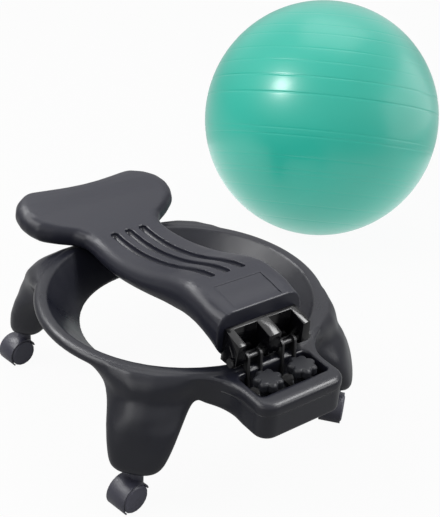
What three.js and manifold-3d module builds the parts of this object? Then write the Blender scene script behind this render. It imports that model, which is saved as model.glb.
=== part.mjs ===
// Balance ball chair: a moulded ring base on four swivel casters, a backrest that folds
// down over the ring on a rear hinge, two star knobs that clamp the hinge plates, and a
// separate inflated ball that stands beside the chair.
// Millimetres, +Z up, floor at zero. The tray with the knobs is at the rear (+Y).
import * as THREE from 'three';
import { mergeVertices } from 'three/addons/utils/BufferGeometryUtils.js';
import Module from 'manifold-3d';

const wasm = await Module();
wasm.setup();

// Clearances
const fitGap = 0.3;          // between pieces that seat on each other
const runGap = 0.5;          // between pieces that turn or slide past each other
const overrun = 2;           // how far every cutting tool passes the face that it cuts

// Ring
const ringHeight = 212;      // top of the ring above the floor
const bowlRadius = 215;      // inner edge of the rim, where the ball goes in
const bowlTaper = 52;        // how much narrower the bowl is at its lower edge
const bowlDepth = 57;
const rimWidth = 21;         // from the bowl's edge to the outside of the rim
const openingRadius = bowlRadius - bowlTaper;
const rimRadius = bowlRadius + rimWidth;
const rimRound = 9;          // rounding of the rim's outer edge
const lipRound = 4;          // rounding of the rim's inner edge
const skirtDepth = 16;       // lower edge of the ring's outer wall, below its top

// Legs
const legClearance = 64;     // underside of the leg above the floor
const rearToe = 35;          // outer face of a rear foot beyond the caster's stem
const frontToe = 22;
const legHeel = 40;          // inner face of the foot behind the caster's stem
const shoulderDepth = 38;    // where a leg's shoulder is full, below the ring's top
const rearShoulder = 26;     // how far a rear leg's shoulder stands out from the rim
const frontShoulder = 50;
const swellShare = 0.5;      // below one, the shoulder stands out nearer the rim
const shoulderShare = 0.7;   // below one, the leg reaches its foot's radius sooner
const legTopHalf = 58;       // half width where the flare ends
const legFootHalf = 37;      // half width at the foot
const rearWiden = 16;        // how much wider a rear leg is on the tray's side
const legFlare = 80;         // radius that runs the leg's sides out into the rim
const legFree = 46;          // depth over which the leg's section turns square
const legFootRound = 16;     // rounding of the foot's lower edge
const legScoop = 6;          // hollow of the leg's outer face
const squareShare = 3.4;     // how square the leg's section is, two being round
const flareShare = 0.97;     // keeps the flare's end short of flat
const rearStemOut = 30;      // the casters' stems beyond the rim
const frontStemOut = 56;
const rearStemTurn = 42.87;  // degrees from the chair's side to each stem
const frontStemTurn = 53.92;

// Knob tray behind the ring
const boxHalf = 77;
const boxReach = 82;         // back of the box behind the rim
const boxDepth = 64;
const boxCorner = 24;
const boxRound = 9;
const boxSeamDepth = 17;     // shadow line below the rounded rim
const boxSeam = 2.2;         // how deep the line is cut in
const boxInset = 1;          // wall of the box inside its rim
const boxDrop = 4;           // tray top below the ring's top
const trayHalf = 63;
const trayLap = 1;           // front of the tray inside the rim's edge
const trayWall = 27;         // rim of the tray at the rear
const trayCorner = 8;
const trayDepth = 34;        // tray floor below the tray's top

// Hinge
const pinInset = 9;          // hinge pin inside the rim's edge
const pinZ = 17;             // above the ring's top
const pinRadius = 4;
const capRadius = 7;
const capThick = 3;
const earInner = 20;         // middles of a hinge bracket's two ears
const earOuter = 43;
const plateThick = 4;
const eyeRadius = 8;
const tongueHalf = 15;       // half width of the tongue under the knob
const tongueShort = 8;       // end of the tongue before the tray's rear wall

// Knobs
const knobX = 31;
const knobBack = 25;         // knob's axis before the tray's rear wall
const knobRadius = 22.5;
const knobLobes = 7;
const knobDip = 2.6;         // depth of the hollows between lobes
const knobHeight = 34.5;
const knobHead = 15;
const knobDome = 2;
const hubRadius = 10;
const washerRadius = 11;
const washerThick = 1.6;
const studRadius = 4;
const studReach = 12;        // thread below the tray floor
const insertRadius = 6.5;
const insertLength = 13;

// Backrest, as it lies folded over the ring
const backLength = 578;      // from the hinge pin to the far edge of the pad
const padHalf = 152;
const padCorner = 76;
const padDip = 18;           // hollow in the middle of the pad's far edge
const dipHalf = 105;         // half width of that hollow
const padThick = 36;
const spineHalf = 80;
const footDepth = 73;        // depth of the spine at the foot
const dipTop = 30;           // lowest point of the top face, above the ring's top
const crownTop = 91;         // highest point of the top face
const edgeRound = 19;
const footRound = 26;        // rounding of the spine's edges at the foot
const spineEnd = 26;         // end of the spine before the hinge pin
const grooveRadius = 5.6;
const groovePitch = 28;
const grooveStart = 397;     // far end of the grooves before the hinge pin
const grooveEnd = 113;
const grooveSink = 2.7;      // centre of the groove below the top face
const panelHalf = 42;        // bare recessed rectangle near the foot
const panelStart = 84;
const panelEnd = 31;
const panelSink = 1;
const tipShare = 0.93;       // how much of the edge's rounding the far end has
const backSteps = 26;
const grooveSteps = 8;
const panelSteps = 6;
const mouthWall = 13;        // spine under the foot block's plug, where the screws seat
const mouthDepth = 22;

// Foot block with the hinge fingers
const blockHalf = 64;
const blockTop = 58;
const blockDraft = 5;        // how much wider the block is at its underside
const plugHalf = 58;
const plugLow = 34;
const plugHigh = 54;
const fingerTop = 47.5;
const fingerLean = 2;        // how far the fingers' tips lean out at the top
const knuckleRadius = 9;
const slotInner = 11;
const slotOuter = 52;
const slotRoot = 20;         // closed end of the slots before the pin
const screwInnerX = 18;
const screwOuterX = 50;
const screwRadius = 2.6;
const screwHead = 5;
const screwHeadThick = 3;
const screwReach = 26;

// Casters
const wheelRadius = 23;
const wheelWidth = 15;
const webThick = 8;
const wheelFace = 4;         // closed outer face of a wheel, beyond the axle's end
const treadRound = 2.5;
const axleRadius = 3;
const axleBoss = 9;          // web round the axle
const hoodGap = 1;         // air between tread and hood
const hoodWall = 2.2;
const hoodShort = 1.5;       // the wheels' faces stand proud of the hood by this
const hoodLow = -42;         // degrees, where the hood starts below the trailing side
const hoodHigh = 162;        // degrees, where it ends over the stem side
const trail = 16;            // wheel centre behind the swivel axis
const bossRadius = 11;
const bossTop = 58;
const stemRadius = 5.5;
const collarRadius = 9.5;
const collarThick = 3;
const socketWall = 3;
const socketDepth = 38;
const socketFlange = 13;
const flangeThick = 2;
const stemPocket = 11;       // how deep the stem enters the caster's boss

// Ball, standing beside the chair
const ballRadius = 258;
const ballWall = 2;
const ballX = -627;
const ballY = -380;
const ballTilt = 25;         // degrees that the moulding axis leans
const ballLean = 226.5;      // degrees, the way it leans
const valveRadius = 5;
const plugRadius = 9;
const plugThick = 2.5;
const plugReach = 14;

// Facets
const facetTolerance = 0.12; // how far a vertex may be from the exact surface
const weldDistance = 1e-4;
const ringSteps = 54;
const legSteps = 18;
const wheelSteps = 18;
const hoodSteps = 8;
const smallSteps = 10;
const lobeSteps = 5;
const ballSteps = 40;
const ballRows = 20;
const ballInnerRows = 5;

// Places that follow the ring
const pinY = rimRadius - pinInset;
const boxRear = rimRadius + boxReach;
const trayFront = rimRadius - trayLap;
const trayRear = boxRear - trayWall;
const tongueRear = trayRear - tongueShort;
const knobY = trayRear - knobBack;

const rad = THREE.MathUtils.degToRad;
const mix = THREE.MathUtils.lerp;
const polar = (radius, angle, z) =>
  new THREE.Vector3(radius * Math.cos(angle), radius * Math.sin(angle), z);

// A closed solid through a stack of outlines that all have the same number of points.
// Flat lids close the first and last outlines, seen along the given axis. A last outline
// that isn't flat is closed with a strip between its two halves.
function loft(outlines, axis = 'z', striped = false) {
  const count = outlines[0].length;
  const positions = outlines.flat().flatMap((p) => [p.x, p.y, p.z]);
  const index = [];
  for (let level = 0; level + 1 < outlines.length; level++) {
    for (let i = 0; i < count; i++) {
      const a = level * count + i;
      const b = level * count + (i + 1) % count;
      index.push(a, b, b + count, a, b + count, a + count);
    }
  }
  const flat = (p) => (axis === 'z' ? new THREE.Vector2(p.x, p.y) : new THREE.Vector2(p.z, p.x));
  const lid = (outline, start, flip) => {
    const contour = outline.map(flat);
    const swap = flip !== THREE.ShapeUtils.isClockWise(contour);
    for (const [a, b, c] of THREE.ShapeUtils.triangulateShape(contour, [])) {
      index.push(start + a, start + (swap ? c : b), start + (swap ? b : c));
    }
  };
  lid(outlines[0], 0, true);
  const last = (outlines.length - 1) * count;
  if (striped) {
    for (let i = 0; i + 1 < count / 2; i++) {
      const [a, b, c, d] = [i, i + 1, count - 2 - i, count - 1 - i].map((step) => last + step);
      index.push(a, b, c, a, c, d);
    }
  } else {
    lid(outlines[outlines.length - 1], last, false);
  }
  const geometry = new THREE.BufferGeometry();
  geometry.setAttribute('position', new THREE.Float32BufferAttribute(positions, 3));
  geometry.setIndex(index);
  return outward(geometry);
}

// Turns a closed mesh so that its faces point out.
function outward(geometry) {
  const p = geometry.attributes.position;
  const index = geometry.index.array;
  const a = new THREE.Vector3();
  const b = new THREE.Vector3();
  const c = new THREE.Vector3();
  let volume = 0;
  for (let i = 0; i < index.length; i += 3) {
    a.fromBufferAttribute(p, index[i]);
    b.fromBufferAttribute(p, index[i + 1]);
    c.fromBufferAttribute(p, index[i + 2]);
    volume += a.dot(b.cross(c));
  }
  if (volume < 0) {
    for (let i = 0; i < index.length; i += 3) {
      [index[i + 1], index[i + 2]] = [index[i + 2], index[i + 1]];
    }
  }
  return geometry;
}

// Joining and cutting
function solid(geometry) {
  const bare = geometry.clone();
  bare.deleteAttribute('normal');
  bare.deleteAttribute('uv');
  const merged = outward(mergeVertices(bare, weldDistance));
  return new wasm.Manifold(new wasm.Mesh({
    numProp: 3,
    vertProperties: new Float32Array(merged.attributes.position.array),
    triVerts: new Uint32Array(merged.index.array),
  }));
}
const join = (first, ...rest) => rest.reduce((sum, next) => sum.add(solid(next)), solid(first));
const cut = (body, ...tools) => tools.reduce((left, tool) => left.subtract(solid(tool)), body);

function geometryOf(body) {
  if (body.isBufferGeometry) {
    return body;
  }
  const mesh = body.simplify(facetTolerance).getMesh();
  const geometry = new THREE.BufferGeometry();
  geometry.setAttribute('position', new THREE.BufferAttribute(mesh.vertProperties, 3));
  geometry.setIndex(new THREE.BufferAttribute(mesh.triVerts, 1));
  return geometry;
}

// Shapes
const at = (geometry, x, y, z) => geometry.translate(x, y, z);
const revolve = (points, steps) =>
  new THREE.LatheGeometry(points.map(([r, z]) => new THREE.Vector2(r, z)), steps).rotateX(Math.PI / 2);
const rod = (radius, low, high, steps = smallSteps) =>
  revolve([[0, low], [radius, low], [radius, high], [0, high]], steps);
const tube = (inner, outer, low, high, steps = smallSteps) =>
  revolve([[inner, low], [outer, low], [outer, high], [inner, high], [inner, low]], steps);
const block = (x0, x1, y0, y1, z0, z1) =>
  at(new THREE.BoxGeometry(x1 - x0, y1 - y0, z1 - z0), (x0 + x1) / 2, (y0 + y1) / 2, (z0 + z1) / 2);
const extrude = (shape, depth, curveSegments = 6) =>
  new THREE.ExtrudeGeometry(shape, { depth, bevelEnabled: false, curveSegments });

// A side view drawn in Y and Z, pushed along X from x0 to x1.
const sideways = (shape, x0, x1, steps) =>
  at(extrude(shape, x1 - x0, steps).rotateY(Math.PI / 2).rotateX(Math.PI / 2), x0, 0, 0);

function roundedRectangle(x0, x1, y0, y1, corner) {
  const shape = new THREE.Shape();
  shape.absarc(x1 - corner, y1 - corner, corner, 0, Math.PI / 2);
  shape.absarc(x0 + corner, y1 - corner, corner, Math.PI / 2, Math.PI);
  shape.absarc(x0 + corner, y0 + corner, corner, Math.PI, Math.PI * 1.5);
  shape.absarc(x1 - corner, y0 + corner, corner, Math.PI * 1.5, Math.PI * 2);
  return shape;
}

// Materials
const finish = (color, roughness, metalness = 0) =>
  new THREE.MeshStandardMaterial({ color, roughness, metalness });
const blackPlastic = finish(0x2b2b2f, 0.55);
const glossPlastic = finish(0x17171a, 0.3);
const casterPlastic = finish(0x232327, 0.5);
const treadPlastic = finish(0x141416, 0.45);
const steel = finish(0x9a9da2, 0.35, 1);
const blackSteel = finish(0x1d1d20, 0.4, 0.5);
const brass = finish(0xb08d4a, 0.4, 1);
const ballVinyl = finish(0x3fae9a, 0.45);
const plugVinyl = finish(0xe8e8e4, 0.5);

const chair = new THREE.Group();
chair.name = 'balance_ball_chair';

function piece(name, body, material, parent) {
  const mesh = new THREE.Mesh(geometryOf(body), material.clone());
  mesh.name = name;
  parent.add(mesh);
  return mesh;
}

// Base moulding: ring, legs and knob tray, with zero at the top of the ring
const base = new THREE.Group();
base.position.z = ringHeight;
chair.add(base);
const legBottom = legClearance - ringHeight;
const trayTop = -boxDrop;
const trayFloor = trayTop - trayDepth;

function ringProfile() {
  const profile = new THREE.Shape();
  const wallTop = bowlRadius - lipRound / 2;
  profile.moveTo(openingRadius, -bowlDepth);
  profile.lineTo(wallTop, -lipRound);
  profile.quadraticCurveTo(bowlRadius, 0, bowlRadius + lipRound, 0);
  profile.lineTo(rimRadius - rimRound, 0);
  profile.absarc(rimRadius - rimRound, -rimRound, rimRound, Math.PI / 2, 0, true);
  profile.lineTo(rimRadius, -rimRound - fitGap);
  profile.quadraticCurveTo(rimRadius, -skirtDepth, rimRadius - rimRound, -skirtDepth);
  profile.lineTo(openingRadius + lipRound, -bowlDepth - lipRound / 2);
  profile.closePath();
  return profile.getPoints(3).map((p) => [p.x, p.y]);
}

// One leg: level outlines from the rim down to the foot, bent round the ring's centre.
// The upper ones fade into the skirt with the flare's radius, the lower ones round off.
const rimShares = [0.1, 0.38, 0.75];
const flareShares = [0, 0.04, 0.13, 0.28, 0.5, 0.75];
const shankShares = [0.1, 0.5];
function leg({ x: stemX, y: stemY, shoulder, foot, widen }) {
  const heading = Math.atan2(stemY, stemX);
  const stemDistance = Math.hypot(stemX, stemY);
  const drop = -legBottom;
  const toe = stemDistance + foot;
  const depths = [
    ...rimShares.map((share) => share * skirtDepth),
    ...flareShares.map((share) => skirtDepth + share * legFlare),
    ...shankShares.map((share) => mix(skirtDepth + legFlare, drop - legFootRound, share))];
  const levels = depths.map((depth) => ({ depth, inset: 0 }));
  for (const turn of [0, 30, 60, 90]) {
    const inset = legFootRound * (1 - Math.cos(rad(turn)));
    levels.push({ depth: drop - legFootRound * (1 - Math.sin(rad(turn))), inset });
  }
  return loft(levels.map(({ depth, inset }) => {
    const below = Math.max(0, depth - shoulderDepth);
    const fall = below / (drop - shoulderDepth);
    const rise = Math.max(0, legFlare - Math.max(0, depth - skirtDepth)) * flareShare;
    const flare = legFlare - Math.sqrt(legFlare ** 2 - rise ** 2);
    const half = mix(legTopHalf, legFootHalf, fall) + flare - inset;
    const swell = Math.sin(Math.PI / 2 * Math.min(1, depth / shoulderDepth)) ** swellShare;
    const outer = rimRadius - rimRound / 2 + shoulder * swell
      + (toe - rimRadius - shoulder) * Math.sin(Math.PI / 2 * fall ** shoulderShare) - inset;
    const inner = mix(bowlRadius - rimRound, stemDistance - legHeel, fall) + inset;
    const free = Math.min(1, below / legFree);
    const side = mix(rimRadius - rimRound, mix(inner, outer, 0.5), free);
    const scoop = legScoop * Math.sin(Math.PI * fall);
    const outline = [];
    for (let i = 0; i < legSteps; i++) {
      const turn = (i / legSteps) * Math.PI * 2;
      const share = Math.cos(turn);
      const square = (1 - Math.abs(share) ** squareShare) ** (1 / squareShare);
      const soft = (1 - share ** 2) ** 1.5;
      const out = Math.sin(turn) > 0
        ? side + (outer - side) * mix(soft, square, free) - scoop * soft
        : side + (inner - side) * square;
      const width = half + (share * stemX > 0 ? widen * (1 - fall ** 2) : 0);
      outline.push(polar(out, heading + share * width / stemDistance, -depth));
    }
    return outline;
  }));
}

// The tray box: outlines that follow its plan, set in for the rounded rim and the seam
function boxOutline(inset, z, narrow = 0) {
  const half = boxHalf - inset;
  const rear = boxRear - inset;
  const corner = boxCorner - inset;
  const front = bowlRadius - rimRound;
  const spread = mix(Math.sqrt(rimRadius ** 2 - front ** 2), half, narrow);
  const shape = new THREE.Shape();
  shape.moveTo(-spread - inset, front);
  shape.lineTo(spread + inset, front);
  shape.quadraticCurveTo(half, front + boxCorner, half, mix(front, rear, 0.55));
  shape.absarc(half - corner, rear - corner, corner, 0, Math.PI / 2);
  shape.absarc(-half + corner, rear - corner, corner, Math.PI / 2, Math.PI);
  shape.lineTo(-half, mix(front, rear, 0.55));
  shape.quadraticCurveTo(-half, front + boxCorner, -spread - inset, front);
  const points = shape.getPoints(6);
  if (points[0].distanceTo(points[points.length - 1]) < fitGap) {
    points.pop();
  }
  return points.map((p) => new THREE.Vector3(p.x, p.y, z));
}

const flankShares = [[0.6, 0.04], [0.74, 0.15], [0.86, 0.35], [0.93, 0.7]];
function trayBox() {
  const levels = [];
  for (const turn of [0, 22.5, 45, 67.5, 90]) {
    const drop = boxRound * (1 - Math.cos(rad(turn)));
    levels.push(boxOutline(boxRound * (1 - Math.sin(rad(turn))), trayTop - drop));
  }
  levels.push(boxOutline(0, trayTop - boxSeamDepth));
  levels.push(boxOutline(boxSeam, trayTop - boxSeamDepth - boxSeam / 2));
  levels.push(boxOutline(boxInset, trayTop - boxSeamDepth - boxSeam));
  for (const [depthShare, narrowShare] of flankShares) {
    levels.push(boxOutline(boxInset, -boxDepth * depthShare, narrowShare));
  }
  levels.push(boxOutline(boxInset + boxRound / 2, -boxDepth, 1));
  return loft(levels);
}

const rearStem = polar(rimRadius + rearStemOut, rad(rearStemTurn), 0);
const frontStem = polar(rimRadius + frontStemOut, rad(frontStemTurn), 0);
const rearLeg = { y: rearStem.y, shoulder: rearShoulder, foot: rearToe, widen: rearWiden };
const frontLeg = { y: -frontStem.y, shoulder: frontShoulder, foot: frontToe, widen: 0 };
const stems = [
  { name: 'rear_left', x: rearStem.x, heading: 11, ...rearLeg },
  { name: 'rear_right', x: -rearStem.x, heading: 40, ...rearLeg },
  { name: 'front_left', x: frontStem.x, heading: 10, ...frontLeg },
  { name: 'front_right', x: -frontStem.x, heading: 150, ...frontLeg },
];
const sides = [{ name: 'left', sign: 1 }, { name: 'right', sign: -1 }];

const bowlSpace = revolve([
  [0, -bowlDepth - overrun], [openingRadius, -bowlDepth - overrun], [openingRadius, -bowlDepth],
  [bowlRadius - lipRound / 2, -lipRound], [bowlRadius, overrun], [0, overrun]], ringSteps);
const trayTool = at(extrude(
  roundedRectangle(-trayHalf, trayHalf, trayFront, trayRear, trayCorner),
  trayDepth + boxDrop + overrun), 0, 0, trayFloor);
const ears = [-earOuter, -earInner, earInner, earOuter];
const notchTools = ears.map((x) => block(
  x - plateThick / 2 - runGap, x + plateThick / 2 + runGap,
  pinY - eyeRadius - runGap, trayFront + overrun, trayFloor, overrun));
const insertTools = sides.map(({ sign }) =>
  at(rod(insertRadius + fitGap, trayFloor - insertLength - fitGap, trayFloor + overrun),
    sign * knobX, knobY, 0));
const socketTools = stems.map(({ x, y }) => at(
  rod(stemRadius + socketWall + runGap + fitGap, legBottom - overrun, legBottom + socketDepth + fitGap),
  x, y, 0));

let baseSolid = join(
  revolve(ringProfile(), ringSteps), ...stems.map(leg), trayBox());
baseSolid = cut(baseSolid, bowlSpace, trayTool, ...notchTools, ...insertTools, ...socketTools);
piece('base_moulding', baseSolid, blackPlastic, base);

// Hinge brackets: two upright ears with the pin's eyes, and a tongue under each knob
function hingePlate(sign) {
  const blade = new THREE.Shape();
  const low = trayFloor + fitGap;
  blade.moveTo(pinY - eyeRadius, low);
  blade.lineTo(trayFront + plateThick, low);
  blade.lineTo(trayFront + plateThick, low + plateThick);
  blade.lineTo(pinY + eyeRadius, pinZ);
  blade.absarc(pinY, pinZ, eyeRadius, 0, Math.PI);
  blade.closePath();
  const blades = ears.filter((x) => x * sign > 0)
    .map((x) => sideways(blade, x - plateThick / 2, x + plateThick / 2));
  const web = block(
    sign > 0 ? earInner : -earOuter, sign > 0 ? earOuter : -earInner,
    pinY - eyeRadius, pinY - pinRadius - runGap, runGap, pinZ);
  const tongue = at(extrude(roundedRectangle(
    -tongueHalf, tongueHalf, trayFront + runGap, tongueRear, plateThick), plateThick), sign * knobX, 0, low);
  return cut(
    join(tongue, web, ...blades),
    rod(pinRadius + runGap, -slotOuter, slotOuter).rotateY(Math.PI / 2).translate(0, pinY, pinZ),
    at(rod(studRadius + runGap, -overrun, plateThick + overrun), sign * knobX, knobY, low));
}

// Star knob: a lobed head with a domed top on a round hub
function knobOutline(inset, z) {
  const points = [];
  const steps = knobLobes * lobeSteps;
  for (let i = 0; i < steps; i++) {
    const angle = (i / steps) * Math.PI * 2;
    const wave = (1 - Math.cos(knobLobes * angle)) / 2;
    points.push(polar(knobRadius - knobDip * 2 * (1 - wave ** 0.6) - inset, angle, z));
  }
  return points;
}

const plateTop = trayFloor + fitGap + plateThick;
const washerTop = plateTop + fitGap + washerThick;
const knobTop = washerTop + fitGap + knobHeight;
for (const { name, sign } of sides) {
  piece(`hinge_plate_${name}`, hingePlate(sign), blackSteel, base);
  const insert = piece(`threaded_insert_${name}`, tube(
    studRadius + fitGap, insertRadius, -insertLength, 0), brass, base);
  insert.position.set(sign * knobX, knobY, trayFloor);
  const washer = piece(`knob_washer_${name}`, tube(
    studRadius + runGap, washerRadius, 0, washerThick), steel, base);
  washer.position.set(sign * knobX, knobY, plateTop + fitGap);

  const headLow = knobTop - knobHead;
  const head = loft([
    knobOutline(knobDome, headLow), knobOutline(0, headLow + knobDome),
    knobOutline(0, knobTop - 2 * knobDome), knobOutline(knobDome / 2, knobTop - knobDome),
    knobOutline(knobDome * 2, knobTop)]);
  const hub = rod(hubRadius, washerTop + fitGap, headLow + knobDome, wheelSteps);
  const studHole = rod(
    studRadius + fitGap, washerTop - overrun, knobTop - knobHead / 2 + fitGap);
  const knob = piece(`knob_${name}`, cut(join(head, hub), studHole), blackPlastic, base);
  knob.position.set(sign * knobX, knobY, 0);
  const stud = piece(`knob_stud_${name}`, rod(
    studRadius, trayFloor - studReach, knobTop - knobHead / 2), steel, base);
  stud.position.set(sign * knobX, knobY, 0);
}

// Backrest: stations from the foot to the pad, seen from the hinge pin.
// Each row: share of the length, share of the widening from spine to pad,
// share of the rise from the dip to the crown, share of the thickening from pad to foot.
const backShares = [
  [0.045, -0.05, 0.84, 1], [0.068, -0.03, 0.87, 0.8], [0.098, 0, 0.93, 0.63],
  [0.144, 0, 0.985, 0.57], [0.194, 0, 1, 0.59], [0.242, 0, 0.9, 0.54],
  [0.296, 0, 0.72, 0.38], [0.355, 0, 0.5, 0.22], [0.424, 0, 0.29, 0.08],
  [0.528, -0.03, 0.07, 0], [0.62, -0.07, 0, 0], [0.677, -0.09, 0.02, 0],
  [0.716, -0.04, 0.08, 0], [0.742, 0.12, 0.13, 0], [0.772, 0.5, 0.19, 0.03],
  [0.802, 0.8, 0.26, 0.1], [0.845, 0.96, 0.355, 0.15], [0.897, 1, 0.425, 0.16],
  [0.948, 1, 0.44, 0.16], [1, 1, 0.42, 0.16],
];

// Smooth value between the rows for any share of the length
function backValue(along, column) {
  const last = backShares.length - 1;
  const row = Math.max(0, Math.min(last - 1, backShares.findIndex((next) => next[0] >= along) - 1));
  const [low, high] = [backShares[row], backShares[row + 1]];
  const slope = (i) => {
    const before = backShares[Math.max(0, i - 1)];
    const after = backShares[Math.min(last, i + 1)];
    return (after[column] - before[column]) / (after[0] - before[0]);
  };
  const span = high[0] - low[0];
  const t = (along - low[0]) / span;
  return (2 * t ** 3 - 3 * t ** 2 + 1) * low[column] + (t ** 3 - 2 * t ** 2 + t) * span * slope(row)
    + (3 * t ** 2 - 2 * t ** 3) * high[column] + (t ** 3 - t ** 2) * span * slope(row + 1);
}
const backHalf = (along) => mix(spineHalf, padHalf, backValue(along, 1));
const backTop = (along) => mix(dipTop, crownTop, backValue(along, 2));
const backDepth = (along) => mix(padThick, footDepth, backValue(along, 3));
const backY = (along) => pinY - along * backLength;

// How far the far edge's hollow draws a point of the pad back at this distance from the middle
const dipStartShare = 0.82;
const acrossShares = [0.66, 0.33, 0, -0.33, -0.66];
function edgeDip(along, x) {
  const near = Math.max(0, (along - dipStartShare) / (1 - dipStartShare));
  const across = Math.max(0, 1 - (x / dipHalf) ** 2);
  return padDip * near ** 2 * across ** 1.5;
}

// A rounded section of the backrest across X and Z
function backSection(along, half, top, bottom, y) {
  const round = mix(edgeRound, footRound, backValue(along, 3));
  const corner = Math.min(round, (top - bottom) / 2 - fitGap, half / 2);
  const points = [];
  const quarters = [[1, 1], [-1, 1], [-1, -1], [1, -1]];
  quarters.forEach(([sx, sz], quarter) => {
    for (const turn of [0, 22.5, 45, 67.5, 90]) {
      const angle = rad(turn + quarter * 90);
      const x = sx * (half - corner) + corner * Math.cos(angle);
      const z = (sz > 0 ? top - corner : bottom + corner) + corner * Math.sin(angle);
      points.push(new THREE.Vector3(x, y + edgeDip(along, x), z));
    }
    for (const share of acrossShares) {
      const x = sx * share * (half - corner);
      if (quarter % 2 === 0) {
        points.push(new THREE.Vector3(x, y + edgeDip(along, x), sz > 0 ? top : bottom));
      }
    }
  });
  return points;
}

function backSections() {
  const sections = [];
  const start = spineEnd / backLength;
  const cornerShare = padCorner / backLength;
  const alongs = [];
  for (let i = 0; i <= backSteps; i++) {
    alongs.push(mix(start, 1 - cornerShare, i / backSteps));
  }
  for (const turn of [18, 36, 54, 68, 79, 86]) {
    alongs.push(1 - cornerShare * (1 - Math.sin(rad(turn))));
  }
  for (const along of alongs) {
    const past = Math.max(0, (along - 1 + cornerShare) * backLength);
    const tip = (1 - along) * backLength;
    const pull = padCorner - Math.sqrt(padCorner ** 2 - past ** 2);
    const squeeze = tip < edgeRound
      ? edgeRound - Math.sqrt(edgeRound ** 2 - (edgeRound - tip) ** 2) : 0;
    const top = backTop(along) - squeeze * tipShare;
    const bottom = backTop(along) - backDepth(along) + squeeze * tipShare;
    sections.push(backSection(along, backHalf(along) - pull, top, bottom, backY(along)));
  }
  return sections;
}

// Three blind grooves that follow the top face
function groove(x) {
  const path = [];
  for (let i = 0; i <= grooveSteps; i++) {
    const along = mix(grooveEnd, grooveStart, i / grooveSteps) / backLength;
    path.push(new THREE.Vector3(x, backY(along), backTop(along) - grooveSink));
  }
  const round = new THREE.Shape();
  round.absarc(0, 0, grooveRadius, 0, Math.PI * 2);
  return new THREE.ExtrudeGeometry(round, {
    extrudePath: new THREE.CatmullRomCurve3(path), steps: grooveSteps * 2, bevelEnabled: false,
    curveSegments: 4 });
}

const back = new THREE.Group();
back.position.z = ringHeight;
chair.add(back);
const faceY = pinY - spineEnd;
const screwY = faceY - mouthDepth / 2;
const screwPlaces = [-screwOuterX, -screwInnerX, screwInnerX, screwOuterX];
const seatZ = plugLow - mouthWall - fitGap;

const mouth = block(
  -plugHalf - fitGap, plugHalf + fitGap, faceY - mouthDepth - fitGap, faceY + overrun,
  plugLow - fitGap, plugHigh + fitGap);
const panelCut = () => {
  const points = [];
  for (let i = 0; i <= panelSteps; i++) {
    const along = mix(panelEnd, panelStart, i / panelSteps) / backLength;
    points.push([backY(along), backTop(along) - panelSink]);
  }
  const side = new THREE.Shape();
  side.moveTo(points[0][0], crownTop + overrun);
  points.forEach(([y, z]) => side.lineTo(y, z));
  side.lineTo(points[panelSteps][0], crownTop + overrun);
  side.closePath();
  return sideways(side, -panelHalf, panelHalf);
};
const shell = cut(
  solid(loft(backSections(), 'y', true)), ...[-groovePitch, 0, groovePitch].map(groove), panelCut(), mouth,
  ...screwPlaces.flatMap((x) => [
    at(rod(screwRadius + fitGap, seatZ - overrun, plugLow), x, screwY, 0),
    at(rod(screwHead + runGap, -overrun, seatZ), x, screwY, 0)]));
piece('backrest_shell', shell, blackPlastic, back);

// Foot block: drafted body with a plug for the spine's mouth and fingers round the pin
function footBlock() {
  const low = pinZ - knuckleRadius;
  const tip = pinY + knuckleRadius;
  const side = new THREE.Shape();
  side.moveTo(faceY + fitGap, low);
  side.lineTo(pinY, low);
  side.absarc(pinY, pinZ, knuckleRadius, -Math.PI / 2, 0);
  side.lineTo(tip + fingerLean, fingerTop);
  side.lineTo(faceY + fitGap, blockTop);
  side.closePath();
  const past = tip + fingerLean + overrun;
  const outline = (half, z) => [
    new THREE.Vector3(half, faceY, z), new THREE.Vector3(half, past, z),
    new THREE.Vector3(-half, past, z), new THREE.Vector3(-half, faceY, z)];
  const drafted = solid(loft([outline(blockHalf + blockDraft, low - overrun), outline(blockHalf, blockTop)]));
  const plug = block(
    -plugHalf, plugHalf, faceY - mouthDepth, faceY + overrun, plugLow, plugHigh);
  const slots = sides.map(({ sign }) => block(
    ...[sign * slotInner, sign * slotOuter].sort((a, b) => a - b),
    pinY - slotRoot, past, low - overrun, blockTop + overrun));
  const bore = rod(pinRadius + runGap, -blockHalf * 2, blockHalf * 2)
    .rotateY(Math.PI / 2).translate(0, pinY, pinZ);
  const pilots = screwPlaces.map((x) =>
    at(rod(screwRadius + fitGap, plugLow - overrun, seatZ + screwReach + fitGap), x, screwY, 0));
  const body = drafted.intersect(solid(sideways(side, -blockHalf * 2, blockHalf * 2)));
  return cut(body.add(solid(plug)), ...slots, bore, ...pilots);
}
piece('backrest_foot_block', footBlock(), glossPlastic, back);
screwPlaces.forEach((x, i) => {
  const screw = piece(`foot_screw_${i + 1}`, revolve([
    [0, seatZ - fitGap - screwHeadThick], [screwHead, seatZ - fitGap - screwHeadThick],
    [screwHead, seatZ - fitGap], [screwRadius, seatZ - fitGap],
    [screwRadius, seatZ + screwReach], [0, seatZ + screwReach]], smallSteps), steel, back);
  screw.position.set(x, screwY, 0);
});

// Hinge pin with its end caps
const pinEnd = blockHalf + blockDraft + runGap + capThick / 2;
const pin = piece('hinge_pin', rod(pinRadius, -pinEnd, pinEnd).rotateY(Math.PI / 2), blackSteel, base);
pin.position.set(0, pinY, pinZ);
for (const { name, sign } of sides) {
  const inner = pinEnd - capThick / 2;
  const cap = piece(`hinge_pin_cap_${name}`, revolve([
    [pinRadius + fitGap, inner], [capRadius, inner], [capRadius, inner + capThick],
    [0, inner + capThick], [0, pinEnd + fitGap], [pinRadius + fitGap, pinEnd + fitGap],
    [pinRadius + fitGap, inner]], smallSteps).rotateY(sign * Math.PI / 2), blackSteel, base);
  cap.position.set(0, pinY, pinZ);
}

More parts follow.
